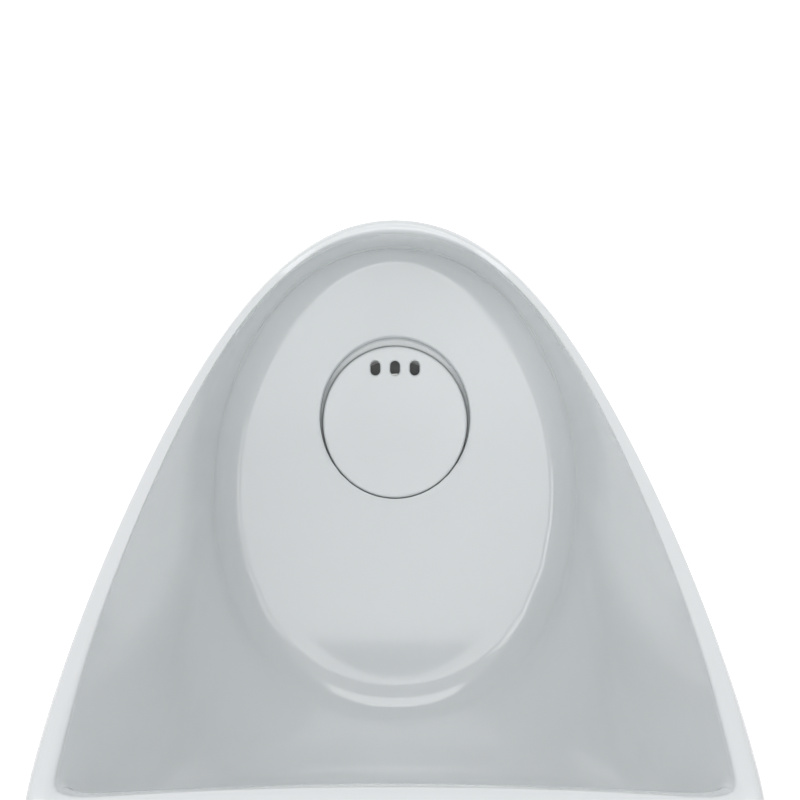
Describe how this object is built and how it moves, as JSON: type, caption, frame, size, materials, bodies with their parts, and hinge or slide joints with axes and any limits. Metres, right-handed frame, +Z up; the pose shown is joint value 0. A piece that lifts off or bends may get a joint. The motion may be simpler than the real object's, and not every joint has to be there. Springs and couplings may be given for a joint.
{
  "type": "floor-standing urinal",
  "caption": "Floor-standing ceramic urinal with an open front, low rounded lip, flat deck over a shallow hood, and a lift-out oval drain cover over a strainer and bell trap.",
  "frame": {"origin": "on the floor, under the middle of the body's overall box", "axes": "+Z up; the open front and its lip face -Y; the flat back stands against the wall at +Y; +X is to the right of a person who faces the urinal"},
  "size_m": [0.37, 0.3951, 0.924],
  "materials": {
    "white_glaze": "glossy cool white glaze on vitreous china",
    "cover_glaze": "glossy white glaze",
    "trap_plastic": "dark grey moulded ABS",
    "pipe_plastic": "pale grey moulded PVC",
    "black_rubber": "moulded EPDM rubber",
    "stainless": "brushed stainless steel",
    "chrome": "bright chrome plate",
    "brass": "bare turned brass",
    "zinc_steel": "zinc-plated pressed steel",
    "cap_plastic": "glossy white moulded plastic"
  },
  "bodies": {
    "bowl": {"ceramic_body": "white_glaze", "waste_gasket": "black_rubber", "waste_spigot": "pipe_plastic", "waste_washer": "black_rubber", "slip_ring": "trap_plastic", "waste_locknut": "pipe_plastic", "waste_pipe": "pipe_plastic", "socket_seal": "black_rubber", "floor_collar": "black_rubber", "flush_spreader": "chrome", "spreader_gasket": "black_rubber", "inlet_washer": "black_rubber", "inlet_nut": "brass", "wall_bracket_left": "zinc_steel", "wall_bracket_right": "zinc_steel", "wall_pads": "black_rubber", "floor_bracket_left": "zinc_steel", "floor_bracket_right": "zinc_steel", "side_sleeves": "trap_plastic", "side_screws": "stainless", "side_nuts": "zinc_steel", "side_caps": "cap_plastic"},
    "trap_cup": {"trap_cup": "trap_plastic", "trap_o_ring": "black_rubber"},
    "strainer": {"strainer_plate": "stainless", "trap_bell": "trap_plastic", "strainer_screw": "stainless", "strainer_nut": "stainless"},
    "cover": {"drain_cover": "cover_glaze"}
  },
  "joints": [
    {"name": "trap_cup_lift", "type": "slide", "parent": "bowl", "child": "trap_cup", "axis": [0, 0, 1], "range_m": [0, 0.09]},
    {"name": "strainer_lift", "type": "slide", "parent": "trap_cup", "child": "strainer", "axis": [0, 0, 1], "range_m": [0, 0.06]},
    {"name": "cover_lift", "type": "slide", "parent": "strainer", "child": "cover", "axis": [0, 0, 1], "range_m": [0, 0.08]}
  ]
}
